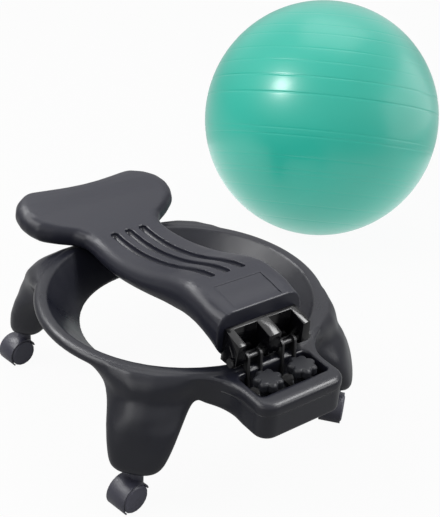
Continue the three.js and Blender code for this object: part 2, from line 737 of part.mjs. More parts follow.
// Casters, each built round its swivel axis with the wheels trailing along +X
function sector(inner, outer, from, to) {
  const shape = new THREE.Shape();
  shape.absarc(0, 0, outer, rad(from), rad(to));
  shape.absarc(0, 0, inner, rad(to), rad(from), true);
  shape.closePath();
  return shape;
}
const hoodInner = wheelRadius + hoodGap;
const hoodOuter = hoodInner + hoodWall;
const hoodHalf = webThick / 2 + runGap + wheelWidth - hoodShort;
const across = (geometry) => at(geometry.rotateX(Math.PI / 2), trail, 0, wheelRadius);

function hood() {
  const cover = across(at(extrude(sector(hoodInner - fitGap, hoodOuter, hoodLow, hoodHigh), hoodHalf * 2, hoodSteps),
    0, 0, -hoodHalf));
  const wedge = new THREE.Shape();
  wedge.moveTo(0, 0);
  wedge.absarc(0, 0, hoodInner, rad(hoodLow), rad(hoodHigh));
  wedge.closePath();
  const webPlate = across(at(extrude(wedge, webThick, hoodSteps), 0, 0, -webThick / 2));
  const webHub = across(rod(axleBoss, -webThick / 2, webThick / 2));
  const boss = rod(bossRadius, wheelRadius, bossTop, wheelSteps);
  const bays = [-1, 1].map((side) => across(rod(
    hoodInner, side > 0 ? webThick / 2 : -hoodHalf - overrun, side > 0 ? hoodHalf + overrun : -webThick / 2,
    wheelSteps)));
  return cut(join(cover, webPlate, webHub, boss), ...bays,
    rod(stemRadius + runGap, bossTop - stemPocket - fitGap, bossTop + overrun),
    across(rod(axleRadius + fitGap, -webThick, webThick)));
}

function wheel(side) {
  const inner = webThick / 2 + runGap;
  const outer = inner + wheelWidth;
  return revolve([
    [axleRadius + runGap, inner], [wheelRadius - treadRound, inner], [wheelRadius, inner + treadRound],
    [wheelRadius, outer - treadRound], [wheelRadius - treadRound, outer], [0, outer],
    [0, outer - wheelFace], [axleRadius + runGap, outer - wheelFace], [axleRadius + runGap, inner]], wheelSteps)
    .rotateX(side * Math.PI / 2);
}

for (const { name, x, y, heading } of stems) {
  const caster = new THREE.Group();
  caster.position.set(x, y, 0);
  caster.rotation.z = rad(heading);
  chair.add(caster);
  const flangeLow = legClearance - flangeThick;
  piece(`caster_${name}_socket`, revolve([
    [stemRadius + fitGap, flangeLow], [socketFlange, flangeLow], [socketFlange, legClearance - fitGap],
    [stemRadius + socketWall, legClearance - fitGap], [stemRadius + socketWall, legClearance + socketDepth],
    [stemRadius + fitGap, legClearance + socketDepth], [stemRadius + fitGap, flangeLow]], smallSteps),
  casterPlastic, caster);
  piece(`caster_${name}_stem`, revolve([
    [0, bossTop - stemPocket], [stemRadius, bossTop - stemPocket], [stemRadius, bossTop + fitGap],
    [collarRadius, bossTop + fitGap], [collarRadius, bossTop + fitGap + collarThick],
    [stemRadius, bossTop + fitGap + collarThick], [stemRadius, legClearance + socketDepth - fitGap],
    [0, legClearance + socketDepth - fitGap]], smallSteps), steel, caster);
  piece(`caster_${name}_hood`, hood(), casterPlastic, caster);
  const axleHalf = hoodHalf + hoodShort - wheelFace - runGap;
  piece(`caster_${name}_axle`, across(rod(axleRadius, -axleHalf, axleHalf)), steel, caster);
  for (const [label, side] of [['left', 1], ['right', -1]]) {
    piece(`caster_${name}_wheel_${label}`, at(wheel(-side), trail, 0, wheelRadius), treadPlastic, caster);
  }
}

// Ball: a hollow moulding with its valve near the top, and the plug in the valve
const ball = new THREE.Group();
const lean = rad(ballLean);
ball.position.set(ballX, ballY, ballRadius);
ball.quaternion.setFromAxisAngle(
  new THREE.Vector3(-Math.sin(lean), Math.cos(lean), 0), rad(ballTilt));
chair.add(ball);
function ballProfile() {
  const points = [];
  const arc = (radius, rows, hole, down) => {
    const start = Math.asin(hole / radius);
    for (let i = 0; i <= rows; i++) {
      const share = i / rows;
      const angle = mix(start, Math.PI, down ? share : 1 - share);
      points.push([Math.max(0, radius * Math.sin(angle)), radius * Math.cos(angle)]);
    }
  };
  arc(ballRadius - ballWall, ballInnerRows, valveRadius, true);
  arc(ballRadius, ballRows, valveRadius, false);
  points.push(points[0]);
  return points;
}
piece('ball', revolve(ballProfile(), ballSteps), ballVinyl, ball);
piece('ball_plug', revolve([
  [0, ballRadius - plugReach], [valveRadius - fitGap, ballRadius - plugReach],
  [valveRadius - fitGap, ballRadius + fitGap / 2], [plugRadius, ballRadius + fitGap / 2],
  [plugRadius, ballRadius + fitGap / 2 + plugThick / 2], [plugRadius - plugThick, ballRadius + plugThick],
  [0, ballRadius + plugThick]], smallSteps), plugVinyl, ball);

// Zero is the middle of the whole set's footprint, on the floor.
const bounds = new THREE.Box3().setFromObject(chair, true);
const middle = bounds.getCenter(new THREE.Vector3());
for (const child of chair.children) {
  child.position.x -= middle.x;
  child.position.y -= middle.y;
  child.position.z -= bounds.min.z;
}

export default chair;
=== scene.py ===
# %% [markdown]
# # A balance ball chair
# This notebook dresses a finished CAD model. The chair is a ring of moulded plastic on four
# casters, with a backrest folded down over it, and an exercise ball stands beyond it. The CAD
# model already has the sizes and the joints. Here the plain solids get the soft edges, the
# grain and the gloss of the real materials.

# %% Load the frame
import math
import bpy
import bmesh
from mathutils import Matrix, Vector


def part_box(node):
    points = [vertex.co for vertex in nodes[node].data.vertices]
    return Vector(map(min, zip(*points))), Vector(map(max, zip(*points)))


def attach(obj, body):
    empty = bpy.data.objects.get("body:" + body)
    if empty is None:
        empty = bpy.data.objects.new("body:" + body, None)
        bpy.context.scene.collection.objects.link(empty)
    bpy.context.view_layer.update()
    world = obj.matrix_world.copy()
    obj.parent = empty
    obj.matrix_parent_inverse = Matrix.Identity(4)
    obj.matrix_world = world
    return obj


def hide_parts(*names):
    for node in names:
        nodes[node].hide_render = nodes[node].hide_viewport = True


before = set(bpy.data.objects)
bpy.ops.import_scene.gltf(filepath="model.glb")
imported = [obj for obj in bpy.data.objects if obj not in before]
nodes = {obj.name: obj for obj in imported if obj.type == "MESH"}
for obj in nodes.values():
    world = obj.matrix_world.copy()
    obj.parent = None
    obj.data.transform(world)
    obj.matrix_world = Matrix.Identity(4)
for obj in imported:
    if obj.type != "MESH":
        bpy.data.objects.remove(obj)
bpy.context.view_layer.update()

print("CAD nodes:", len(nodes))

# %% [markdown]
# Everything is placed from one point: the middle of the ring, level with its top. The hinge
# pin lies 227 mm behind that point and 17 mm above it, so the pin's own box gives the point.

# %% Find the middle of the ring
pin_from_middle = Vector((0, 0.227, 0.017))
pin_low, pin_high = (Vector(corner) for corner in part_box("hinge_pin"))
ring_middle = (pin_low + pin_high) / 2 - pin_from_middle
print("ring middle:", [round(v, 4) for v in ring_middle])

# %% [markdown]
# The camera stands behind the chair's left side and looks down on it by 29 degrees, with a
# small roll. Its place and turn were worked out from the ring's circles in the photograph. A
# camera looks along its own -Z, so the three columns of its turn are right, up and backwards.

# %% Place the camera
camera_data = bpy.data.cameras.new("camera")
camera_data.sensor_fit = "VERTICAL"
sensor, picture_height, focal_pixels = 36, 517, 939
camera_data.sensor_height = sensor
camera_data.lens = sensor * focal_pixels / picture_height
camera_data.clip_end = 50
camera = bpy.data.objects.new("camera", camera_data)
bpy.context.scene.collection.objects.link(camera)
right = Vector((-0.8085, 0.5863, 0.0514)).normalized()
forward = Vector((-0.5324, -0.6913, -0.4885)).normalized()
up = right.cross(forward)
turn = Matrix((right, up, -forward)).transposed().to_4x4()
eye = ring_middle + Vector((0.7470, 1.0677, 0.7884))
camera.matrix_world = Matrix.Translation(eye) @ turn
bpy.context.scene.camera = camera
print("lens, mm:", round(camera_data.lens, 2))

# %% [markdown]
# Two small helpers come next. Colours are written as the hex values that a paint chart or a
# screen shows, and Blender works in linear light, so one function turns one into the other.
# The second adds a shader node, sets it up and links it, so that each material below reads as
# a list of what it is made of.

# %% Colour and node helpers
def linear(hex_colour):
    """Red, green, blue and alpha in linear light."""
    channels = [int(hex_colour[i:i + 2], 16) / 255 for i in (1, 3, 5)]
    curve = [c / 12.92 if c <= 0.04045 else ((c + 0.055) / 1.055) ** 2.4 for c in channels]
    return (*curve, 1.0)


def add(material, kind, inputs=None, **settings):
    """Adds a node. inputs holds a value or another node's output for each named socket."""
    made = material.node_tree.nodes.new(kind)
    for name, value in settings.items():
        setattr(made, name, value)
    for name, value in (inputs or {}).items():
        if isinstance(value, bpy.types.NodeSocket):
            material.node_tree.links.new(value, made.inputs[name])
        else:
            made.inputs[name].default_value = value
    return made


def new_material(name, colour, roughness, **sockets):
    """A material whose Principled shader has these plain values."""
    material = bpy.data.materials.new(name)
    material.use_nodes = True
    material.diffuse_color = linear(colour)
    shader = material.node_tree.nodes["Principled BSDF"]
    shader.inputs["Base Color"].default_value = linear(colour)
    shader.inputs["Roughness"].default_value = roughness
    for socket, value in sockets.items():
        shader.inputs[socket.replace("_", " ")].default_value = value
    return material, shader


def link(material, output, socket):
    material.node_tree.links.new(output, socket)


print("mid grey in linear light:", [round(c, 3) for c in linear("#808080")])


# %% [markdown]
# The base and the backrest are blow-moulded polyethylene. A parison of soft plastic is blown
# against a blasted steel mould, so the skin has a very fine even grain and a satin sheen, and
# it never quite copies the mould flat: long, low waves stay in it. The grain is finer than the
# picture can show, so it is drawn at about 1.2 mm. The waves are some 60 mm long, and a
# little of them goes into the roughness too, as handling polishes the plastic in patches.

# %% Moulded plastics
def moulded_plastic(name, colour, roughness, gloss, grain=0.0012, wave=0.06, depth=0.00006):
    material, shader = new_material(name, colour, roughness, Specular_IOR_Level=gloss)
    place = add(material, "ShaderNodeTexCoord").outputs["Object"]
    fine = add(material, "ShaderNodeTexNoise", {"Vector": place, "Scale": 1 / grain, "Detail": 3.0})
    slow = add(material, "ShaderNodeTexNoise", {"Vector": place, "Scale": 1 / wave, "Detail": 2.0})
    patches = add(material, "ShaderNodeMapRange", {
        "Value": slow.outputs["Fac"], "From Min": 0.3, "From Max": 0.7,
        "To Min": roughness - 0.05, "To Max": roughness + 0.06})
    link(material, patches.outputs["Result"], shader.inputs["Roughness"])
    tint = add(material, "ShaderNodeMix", {
        "Factor": slow.outputs["Fac"], "A": linear(colour),
        "B": tuple(c * 1.18 for c in linear(colour)[:3]) + (1.0,)}, data_type="RGBA")
    link(material, tint.outputs["Result"], shader.inputs["Base Color"])
    waves = add(material, "ShaderNodeBump", {
        "Height": slow.outputs["Fac"], "Distance": 0.0008, "Strength": 0.35})
    grained = add(material, "ShaderNodeBump", {
        "Height": fine.outputs["Fac"], "Distance": depth, "Strength": 0.5,
        "Normal": waves.outputs["Normal"]})
    link(material, grained.outputs["Normal"], shader.inputs["Normal"])
    return material


base_plastic = moulded_plastic("blow-moulded polyethylene, base", "#101118", 0.32, 0.34)
back_plastic = moulded_plastic("blow-moulded polyethylene, backrest", "#13141d", 0.35, 0.32)
block_plastic = moulded_plastic(
    "injection-moulded glass-filled nylon, hinge block", "#050507", 0.12, 0.29, depth=0.00002)
knob_plastic = moulded_plastic("injection-moulded polypropylene, knob", "#17181c", 0.46, 0.26)
caster_nylon = moulded_plastic("injection-moulded nylon, caster", "#2b2b34", 0.36, 0.40, wave=0.03)
wheel_nylon = moulded_plastic("injection-moulded nylon, wheel", "#34343e", 0.40, 0.40, wave=0.03)
print("materials so far:", len(bpy.data.materials))

# %% [markdown]
# Three metals are in the set. Zinc plating on steel is a thin grey coat, a little cloudy. The
# hinge's own parts are the same steel with a black coat, so that they don't show in the
# hinge's shadow. The inserts are turned brass.

# %% Metals
def plated(name, colour, roughness, metallic=1.0, cloud=0.012):
    material, shader = new_material(name, colour, roughness, Metallic=metallic)
    place = add(material, "ShaderNodeTexCoord").outputs["Object"]
    haze = add(material, "ShaderNodeTexNoise", {"Vector": place, "Scale": 1 / cloud, "Detail": 4.0})
    rough = add(material, "ShaderNodeMapRange", {
        "Value": haze.outputs["Fac"], "To Min": roughness - 0.08, "To Max": roughness + 0.12})
    link(material, rough.outputs["Result"], shader.inputs["Roughness"])
    pits = add(material, "ShaderNodeBump", {
        "Height": haze.outputs["Fac"], "Distance": 0.0001, "Strength": 0.2})
    link(material, pits.outputs["Normal"], shader.inputs["Normal"])
    return material


zinc = plated("zinc-plated steel", "#b9bcc2", 0.32)
black_steel = plated("black e-coated steel", "#121214", 0.42, metallic=0.0)
turned_brass = plated("turned brass", "#c9a45c", 0.3)
print("materials so far:", len(bpy.data.materials))

# %% [markdown]
# The ball is soft PVC, rotation-moulded in one piece. The colour is deep where the eye meets
# it square, and a pale veil of reflected white lies over it where the eye meets it at a slant.
# A lamp shows on it as a small bright core in a wide glow, so the rough skin gets a smoother
# coat. The pigment is a little uneven. A white plug closes the valve.

# %% Ball vinyl
ball_vinyl, ball_shader = new_material(
    "soft PVC, ball", "#0ba392", 0.42, Specular_IOR_Level=0.5,
    Coat_Weight=0.5, Coat_Roughness=0.24, Sheen_Weight=0.3, Sheen_Roughness=0.35)
ball_place = add(ball_vinyl, "ShaderNodeTexCoord").outputs["Object"]
pigment = add(ball_vinyl, "ShaderNodeTexNoise", {"Vector": ball_place, "Scale": 6.0, "Detail": 2.0})
pigment_mix = add(ball_vinyl, "ShaderNodeMix", {
    "Factor": pigment.outputs["Fac"], "A": linear("#08a08c"),
    "B": linear("#16ac98")}, data_type="RGBA")
link(ball_vinyl, pigment_mix.outputs["Result"], ball_shader.inputs["Base Color"])
skin = add(ball_vinyl, "ShaderNodeTexNoise", {"Vector": ball_place, "Scale": 500.0, "Detail": 2.0})
skin_bump = add(ball_vinyl, "ShaderNodeBump", {
    "Height": skin.outputs["Fac"], "Distance": 0.0001, "Strength": 0.3})
link(ball_vinyl, skin_bump.outputs["Normal"], ball_shader.inputs["Normal"])
plug_vinyl = moulded_plastic("soft PVC, plug", "#e0e0dc", 0.42, 0.5, wave=0.01, depth=0.00004)
print("materials in all:", len(bpy.data.materials))

# %% [markdown]
# ## Softening a moulded part
# A blown part has no sharp edge anywhere, and where the legs meet the ring the skin flows from
# one into the other. To get that from the CAD solid, the solid's loose triangles are merged in
# a copy, the copy is wrapped in an even skin of small quads with a voxel remesh, and a smooth
# modifier lets the skin relax by a few millimetres. A bevel could not do this, because the
# legs' joints have no clean edge to round.

# %% Copy and soften
def only(piece):
    """Leaves this one piece selected and active."""
    bpy.ops.object.select_all(action="DESELECT")
    piece.select_set(True)
    bpy.context.view_layer.objects.active = piece


def merged_copy(node, name):
    """A copy of a CAD node with its triangles joined up."""
    piece = bpy.data.objects.new(name, nodes[node].data.copy())
    bpy.context.scene.collection.objects.link(piece)
    piece.data.materials.clear()
    only(piece)
    bpy.ops.object.mode_set(mode="EDIT")
    bpy.ops.mesh.select_all(action="SELECT")
    bpy.ops.mesh.remove_doubles(threshold=0.00001)
    bpy.ops.mesh.normals_make_consistent(inside=False)
    bpy.ops.object.mode_set(mode="OBJECT")
    return piece


def apply_all(piece):
    only(piece)
    for modifier in list(piece.modifiers):
        bpy.ops.object.modifier_apply(modifier=modifier.name)


def dress(piece, material, slot, body, *stands_for):
    piece.data.materials.clear()
    piece.data.materials.append(material)
    if stands_for:
        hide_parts(*stands_for)
    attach(piece, body)
    print(piece.name, "faces:", len(piece.data.polygons))


# %% [markdown]
# More helpers change a shape: they wrap it in the skin, relax the skin, thin it, join pieces or
# carve one out of another. Relaxing can take a weight for each vertex, so that crisp places
# stay as they are.

# %% Skin, relax, thin and carve
def skinned(piece, voxel):
    """Wraps whatever closed shapes the piece holds in one even skin of small quads."""
    skin = piece.modifiers.new("skin", "REMESH")
    skin.mode = "VOXEL"
    skin.voxel_size = voxel
    apply_all(piece)


def relaxed(piece, passes, weights=None):
    """Smooths the skin. weights, one for each vertex, keeps part of it as it is."""
    relax = piece.modifiers.new("relax", "SMOOTH")
    relax.factor = 0.5
    relax.iterations = passes
    if weights:
        group = piece.vertex_groups.new(name="relaxed")
        for index, weight in enumerate(weights):
            if weight > 0:
                group.add([index], weight, "REPLACE")
        relax.vertex_group = group.name
    apply_all(piece)


def thinned(piece, most):
    """Leaves at most this many triangles, fewest where the skin is nearly flat."""
    triangles = sum(len(face.vertices) - 2 for face in piece.data.polygons)
    if triangles > most:
        thin = piece.modifiers.new("thin", "DECIMATE")
        thin.ratio = most / triangles
        apply_all(piece)
    print(piece.name, "triangles before and after thinning:", triangles, min(triangles, most))


def joined(piece, *others):
    only(piece)
    for other in others:
        other.select_set(True)
    bpy.ops.object.join()
    return piece


def carved(piece, tool):
    """Cuts the tool's shape out of the piece and removes the tool."""
    cut = piece.modifiers.new("cut", "BOOLEAN")
    cut.operation = "DIFFERENCE"
    cut.solver = "EXACT"
    cut.object = tool
    apply_all(piece)
    bpy.data.objects.remove(tool)


def ramp(value, low, high):
    return max(0.0, min(1.0, (value - low) / (high - low)))


# %% [markdown]
# ## The base
# The CAD ring is a polygon of flats, which a satin surface would show. So a finer ring is spun
# from the same outline and laid over it before both are wrapped in one skin. The spin leaves
# out the sector behind the bowl, where the hinge brackets have their slots.

# %% Spin a finer ring
rim_round, round_middle = 0.009, 0.227   # rounding of the rim's outer edge, and its middle
first_angle, sweep = math.radians(107), math.radians(326)
ring_outline = [
    (0.1625, -0.057), (0.211, -0.0055), (0.2132, -0.0032), (0.216, -0.0011), (0.219, 0),
    (round_middle, 0)]
for turned in (math.radians(degrees) for degrees in (15, 30, 45, 60, 75, 90)):
    ring_outline.append((
        round_middle + rim_round * math.sin(turned), -rim_round + rim_round * math.cos(turned)))
ring_outline += [
    (0.2357, -0.0125), (0.234, -0.0148), (0.231, -0.0158), (round_middle, -0.016),
    (0.167, -0.059)]
ring_mesh = bpy.data.meshes.new("fine_ring")
ring_mesh.from_pydata(
    [ring_middle + Vector((radius * math.cos(first_angle), radius * math.sin(first_angle), height))
     for radius, height in ring_outline],
    [(i, (i + 1) % len(ring_outline)) for i in range(len(ring_outline))], [])
fine_ring = bpy.data.objects.new("fine_ring", ring_mesh)
bpy.context.scene.collection.objects.link(fine_ring)
only(fine_ring)
bpy.ops.object.mode_set(mode="EDIT")
bpy.ops.mesh.select_all(action="SELECT")
bpy.ops.mesh.edge_face_add()
bpy.ops.mesh.spin(steps=200, angle=sweep, center=ring_middle, axis=(0, 0, 1))
bpy.ops.mesh.select_all(action="SELECT")
bpy.ops.mesh.normals_make_consistent(inside=False)
bpy.ops.object.mode_set(mode="OBJECT")
print("fine ring faces:", len(ring_mesh.polygons))

# %% [markdown]
# The legs are relaxed most, because the skin flows there in one sweep from the rim to the
# foot. The rim, the knob tray and the mouths of the caster sockets keep their form. A point's
# weight says how much of the relaxing it gets.

# %% Wrap and relax the base
caster_places = ("rear_left", "rear_right", "front_left", "front_right")
stem_places = []
for place in caster_places:
    low, high = (Vector(corner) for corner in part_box(f"caster_{place}_stem"))
    stem_places.append((low + high) / 2)


def leg_weight(point):
    """The share of the relaxing that this point of the base gets."""
    across, along, height = point - ring_middle
    radius = math.hypot(across, along)
    weight = max(
        ramp(-height, 0.010, 0.024) * ramp(radius, 0.205, 0.225),   # under the rim
        ramp(-height, 0.002, 0.008) * ramp(radius, 0.236, 0.241))   # outside the rim
    if along > 0.19:   # beside the tray, whose box stays crisp
        flank = ramp(-height, 0.027, 0.038) * ramp(0.268 - along, 0, 0.02)
        weight *= max(ramp(abs(across), 0.088, 0.112), flank)
    if height < -0.11:   # round the mouths of the caster sockets
        nearest = min(math.hypot(point.x - stem.x, point.y - stem.y) for stem in stem_places)
        weight *= ramp(nearest, 0.014, 0.022)
    return weight


base_skin = joined(merged_copy("base_moulding", "base_skin"), fine_ring)
skinned(base_skin, 0.0022)
relaxed(base_skin, 90, [leg_weight(vertex.co) for vertex in base_skin.data.vertices])
relaxed(base_skin, 3)
thinned(base_skin, 180000)

# %% [markdown]
# A dark line runs round the tray's box under its rounded rim. It is the groove where the two
# halves of the mould met. The skin has blurred it, so it is cut again with a thin tube that
# follows the box: straight sides, round corners, and a curve out towards the ring.

# %% Cut the mould line
def mould_line():
    """Points round the box, from one side of it to the other."""
    half, rear, corner, height = 0.0765, 0.3175, 0.0235, -0.0225
    start, bend, end = Vector((half, 0.2676)), Vector((half, 0.230)), Vector((0.1152, 0.206))
    steps, last_share = 7, 0.55
    side = []
    for step in range(steps + 1):
        share = step / steps * last_share
        side.append(start * (1 - share) ** 2 + bend * 2 * share * (1 - share) + end * share ** 2)
    side.reverse()
    for degrees in range(0, 91, 15):
        angle = math.radians(degrees)
        side.append(Vector((
            half - corner + corner * math.cos(angle), rear - corner + corner * math.sin(angle))))
    path = side + [Vector((-point.x, point.y)) for point in reversed(side)]
    return [ring_middle + Vector((point.x, point.y, height)) for point in path]


def tube_along(name, points, radius, roundness=1):
    """A closed tube along these points, as a mesh."""
    data = bpy.data.curves.new(name, "CURVE")
    data.dimensions = "3D"
    data.bevel_depth = radius
    data.bevel_resolution = roundness
    data.use_fill_caps = True
    spline = data.splines.new("POLY")
    spline.points.add(len(points) - 1)
    for target, point in zip(spline.points, points):
        target.co = (*point, 1)
    tube = bpy.data.objects.new(name, data)
    bpy.context.scene.collection.objects.link(tube)
    only(tube)
    bpy.ops.object.convert(target="MESH")
    return tube


carved(base_skin, tube_along("mould_line", mould_line(), 0.0011))
only(base_skin)
bpy.ops.object.shade_smooth_by_angle(angle=math.radians(50))
dress(base_skin, base_plastic, "base_plastic", "base", "base_moulding")

# %% [markdown]
# ## The backrest
# Three deep grooves run down the backrest's spine and stiffen it. The skin below fills a narrow
# groove a little. So each groove is first opened to 13 mm with a thicker tube, which runs
# 2.3 mm under the top face. Rays from above feel for the face beside each groove.

# %% Open the grooves
groove_start, groove_length = 0.118, 0.285
groove_pitch, groove_sink, groove_radius = 0.028, 0.0023, 0.007
beside_groove, above_all = 0.009, 0.3
back_skin = merged_copy("backrest_shell", "backrest_skin")


def groove_path(side):
    """Points along one groove, a little under the top face."""
    path = []
    steps = 20
    for step in range(steps + 1):
        start = ring_middle + Vector((
            side + beside_groove, groove_start - groove_length * (step / steps), above_all))
        _, place, _, _ = back_skin.ray_cast(start, (0, 0, -1))
        path.append(Vector((ring_middle.x + side, start.y, place.z - groove_sink)))
    return path


groove_paths = [groove_path(side) for side in (-groove_pitch, 0, groove_pitch)]
for path in groove_paths:
    carved(back_skin, tube_along("groove", path, groove_radius, 4))
heights = [round((point.z - ring_middle.z) * 1000) for point in groove_paths[1][::4]]
print("heights along a groove, mm:", heights)

# %% [markdown]
# The shell gets the same skin as the base, but finer, so that the grooves keep their soft lips.
# The bare panel near the hinge is sunk by a millimetre with a clean edge, and the skin blurs
# that edge. The floor of the panel is felt for with rays too, and a thin slab that stands on it
# cuts the edge again.

# %% Wrap the backrest and cut its panel
skinned(back_skin, 0.0016)


def back_weight(point):
    """The share of the relaxing that this point of the backrest gets."""
    across, along, _ = point - ring_middle
    weight = ramp(0.196 - along, 0.0, 0.014)
    if -0.182 < along < 0.199:
        weight *= ramp(abs(across), 0.040, 0.050)
    return weight


relaxed(back_skin, 40, [back_weight(vertex.co) for vertex in back_skin.data.vertices])
relaxed(back_skin, 3)
thinned(back_skin, 150000)


def panel_slab():
    """A slab that stands on the panel's floor and has the panel's outline."""
    first, length, half, sink, thick, steps = 0.143, 0.053, 0.042, 0.0005, 0.02, 8
    rows = []
    for step in range(steps + 1):
        along = first + length * step / steps
        start = ring_middle + Vector((0, along, above_all))
        _, place, _, _ = back_skin.ray_cast(start, (0, 0, -1))
        rows.append((along, place.z - sink))
    points = [
        ring_middle + Vector((side, along, 0)) for side in (-half, half) for along, _ in rows]
    for point, (_, height) in zip(points, rows + rows):
        point.z = height
    tops = [Vector((point.x, point.y, point.z + thick)) for point in points]
    count = len(rows)
    faces = []
    for i in range(count - 1):
        a, b, c, d = i, i + 1, count + i + 1, count + i
        faces += [(a, d, c, b), tuple(v + 2 * count for v in (a, b, c, d))]
        faces += [(a, b, b + 2 * count, a + 2 * count), (c, d, d + 2 * count, c + 2 * count)]
    faces.append((0, 2 * count, 3 * count, count))
    faces.append((count - 1, 2 * count - 1, 4 * count - 1, 3 * count - 1))
    slab_mesh = bpy.data.meshes.new("panel_slab")
    slab_mesh.from_pydata(points + tops, [], faces)
    slab = bpy.data.objects.new("panel_slab", slab_mesh)
    bpy.context.scene.collection.objects.link(slab)
    only(slab)
    bpy.ops.object.mode_set(mode="EDIT")
    bpy.ops.mesh.select_all(action="SELECT")
    bpy.ops.mesh.normals_make_consistent(inside=False)
    bpy.ops.object.mode_set(mode="OBJECT")
    return slab


carved(back_skin, panel_slab())
only(back_skin)
bpy.ops.object.shade_smooth_by_angle(angle=math.radians(50))
dress(back_skin, back_plastic, "backrest_plastic", "backrest", "backrest_shell")

# %% [markdown]
# ## Crisper mouldings
# The hinge block, the knobs and the caster parts are injection moulded in hard steel tools.
# They keep their flats, and each edge has a small radius that catches the light as a thin
# line. A bevel modifier on the merged copy gives that radius.

# %% Bevelled pieces
def bevelled(node, name, width, segments=3):
    """A merged copy of a CAD node with its flats made whole and its edges rounded."""
    piece = merged_copy(node, name)
    bpy.ops.object.mode_set(mode="EDIT")
    bpy.ops.mesh.select_all(action="SELECT")
    bpy.ops.mesh.dissolve_limited(angle_limit=math.radians(1))
    bpy.ops.object.mode_set(mode="OBJECT")
    radius = piece.modifiers.new("radius", "BEVEL")
    radius.width = width
    radius.segments = segments
    radius.limit_method = "ANGLE"
    radius.angle_limit = math.radians(35)
    apply_all(piece)
    bpy.ops.object.shade_smooth_by_angle(angle=math.radians(40))
    return piece


block = bevelled("backrest_foot_block", "hinge_block", 0.0016)
dress(block, block_plastic, "block_plastic", "backrest", "backrest_foot_block")

# %% [markdown]
# Each hinge bracket is a strip of steel folded into a U. Its web is a little taller than in the
# CAD and runs on past the outer ear, so no light comes through the slot above the pin. The
# copy of the CAD bracket gets that as one more box, added in edit mode, and a small radius.

# %% Hinge brackets
web_size = (0.033, 0.0035, 0.0197)
for side, sign in (("left", 1), ("right", -1)):
    web_middle = ring_middle + Vector((sign * 0.0349, 0.22055, 0.01065))
    bracket = merged_copy(f"hinge_plate_{side}", f"hinge_bracket_{side}")
    bpy.ops.object.mode_set(mode="EDIT")
    bpy.ops.mesh.select_all(action="DESELECT")
    bpy.ops.mesh.primitive_cube_add(size=1, location=web_middle)
    bpy.ops.transform.resize(value=web_size)
    bpy.ops.object.mode_set(mode="OBJECT")
    radius = bracket.modifiers.new("radius", "BEVEL")
    radius.width = 0.0006
    radius.segments = 2
    radius.limit_method = "ANGLE"
    apply_all(bracket)
    bpy.ops.object.shade_smooth_by_angle(angle=math.radians(40))
    dress(bracket, black_steel, "blackened_steel", "base", f"hinge_plate_{side}")

# %% [markdown]
# Each knob is a star with rounded lobes and rounded hollows between them. A bevel would trip
# over its many short edges. So a knob gets a very fine skin, relaxed a little, which rounds
# every edge alike.

# %% Star knobs
for side in ("left", "right"):
    knob = merged_copy(f"knob_{side}", f"knob_grip_{side}")
    skinned(knob, 0.0007)
    relaxed(knob, 3)
    bpy.ops.object.shade_smooth()
    dress(knob, knob_plastic, "knob_plastic", f"knob_{side}_body", f"knob_{side}")

# %% [markdown]
# The casters are alike, so each finish is made once and given to all four. The hood and the
# wheels keep the CAD's shapes with a small moulded radius.

# %% Casters
for place in caster_places:
    hood = bevelled(f"caster_{place}_hood", f"hood_{place}", 0.0006, 2)
    dress(hood, caster_nylon, "caster_nylon", f"caster_{place}", f"caster_{place}_hood")
    for side in ("left", "right"):
        node, body = f"caster_{place}_wheel_{side}", f"wheel_{place}_{side}"
        dress(bevelled(node, body, 0.0005, 2), wheel_nylon, "wheel_nylon", body, node)

# %% [markdown]
# ## The ball
# The ball carries fine sunk lines, square to the axis of its mould. Two are 0.8 mm deep and the
# others 0.35 mm, so they show as thin lines of shade. The half outline is drawn from pole to
# pole with a small dip at each line, and spin turns it about the axis. The axis leans 25
# degrees, away from the camera. In the photograph the chair doesn't mirror the ball, so the
# ball is hidden from the rays that a gloss sends.

# %% Ball with its lines
ball_radius, skin_radius = 0.258, 0.2575   # of the CAD's ball, and of the skin just inside it
ball_low, ball_high = (Vector(corner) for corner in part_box("ball"))
ball_middle = Vector((
    (ball_low.x + ball_high.x) / 2, (ball_low.y + ball_high.y) / 2, ball_low.z + ball_radius))
deep_lines = (75.8, 83.8)    # degrees from the pole
faint_lines = (28, 38, 47.4, 53.4, 61.8, 68.5, 99.3, 102.3, 112.1, 118.3, 120.8, 128.3, 138, 150)
line_width = 0.35


def skin_rise(angle):
    """How far the skin rises at this angle from the pole, in metres. A dip is negative."""
    rise = 0.0
    for lines, height in ((deep_lines, -0.0008), (faint_lines, -0.00035)):
        for line in lines:
            rise += height * math.exp(-((angle - line) / line_width) ** 2)
    return rise


outline = bmesh.new()
steps = 720
last = None
for i in range(steps + 1):
    angle = 180 * i / steps
    radius = skin_radius + skin_rise(angle)
    turned = math.radians(angle)
    point = outline.verts.new((radius * math.sin(turned), 0, radius * math.cos(turned)))
    if last:
        outline.edges.new((last, point))
    last = point
ball_mesh = bpy.data.meshes.new("ball_skin")
outline.to_mesh(ball_mesh)
outline.free()
ball_skin = bpy.data.objects.new("ball_skin", ball_mesh)
bpy.context.scene.collection.objects.link(ball_skin)
only(ball_skin)
bpy.ops.object.mode_set(mode="EDIT")
bpy.ops.mesh.select_all(action="SELECT")
bpy.ops.mesh.spin(steps=96, angle=math.tau, center=(0, 0, 0), axis=(0, 0, 1))
bpy.ops.mesh.select_all(action="SELECT")
bpy.ops.mesh.remove_doubles(threshold=0.00002)
bpy.ops.mesh.normals_make_consistent(inside=False)
bpy.ops.object.mode_set(mode="OBJECT")
lean_way, lean = math.radians(226.5), math.radians(25)
lean_axis = Vector((-math.sin(lean_way), math.cos(lean_way), 0))
ball_mesh.transform(Matrix.Translation(ball_middle) @ Matrix.Rotation(lean, 4, lean_axis))
bpy.ops.object.shade_smooth()
dress(ball_skin, ball_vinyl, "ball_vinyl", "ball", "ball")
